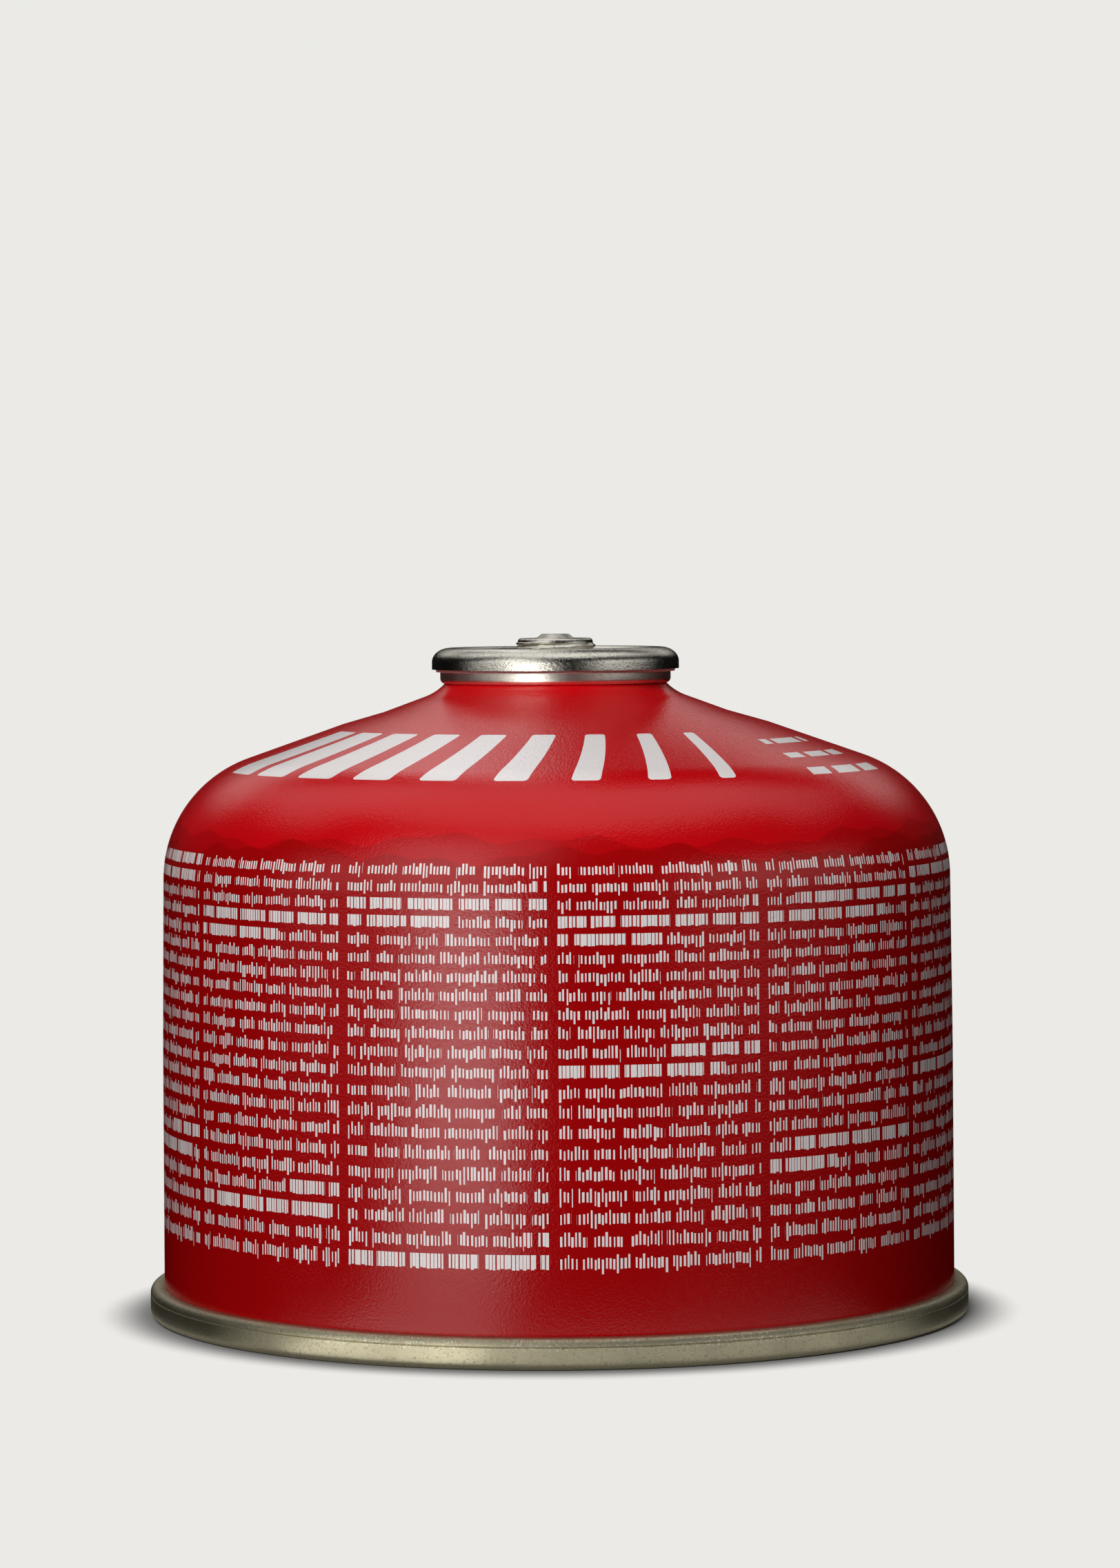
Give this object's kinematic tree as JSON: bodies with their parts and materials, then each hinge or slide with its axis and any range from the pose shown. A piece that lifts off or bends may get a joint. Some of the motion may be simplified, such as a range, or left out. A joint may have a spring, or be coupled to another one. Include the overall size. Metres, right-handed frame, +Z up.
{
  "type": "screw-valve gas canister",
  "caption": "Low wide steel gas canister with a rounded shoulder, a seamed base and a crimped valve cup with a threaded boss for a camping stove.",
  "frame": {"origin": "middle of the ring that the canister stands on", "axes": "+Z up along the canister's axis, from the base to the valve"},
  "size_m": [0.1118, 0.1118, 0.0924],
  "materials": {
    "body_paint": "satin red lacquer over tinplate, with pale grey print",
    "lacquered_steel": "clear gold lacquer over tinplate",
    "tinplate": "bare stamped tinplate",
    "gasket_rubber": "matt",
    "seal_rubber": "matt",
    "valve_plastic": "moulded"
  },
  "bodies": {
    "root": {"can_body": "body_paint", "bottom_end": "lacquered_steel", "valve_cup": "tinplate", "cup_gasket": "gasket_rubber", "stem_gasket": "seal_rubber", "valve_insert": "valve_plastic"}
  },
  "joints": []
}
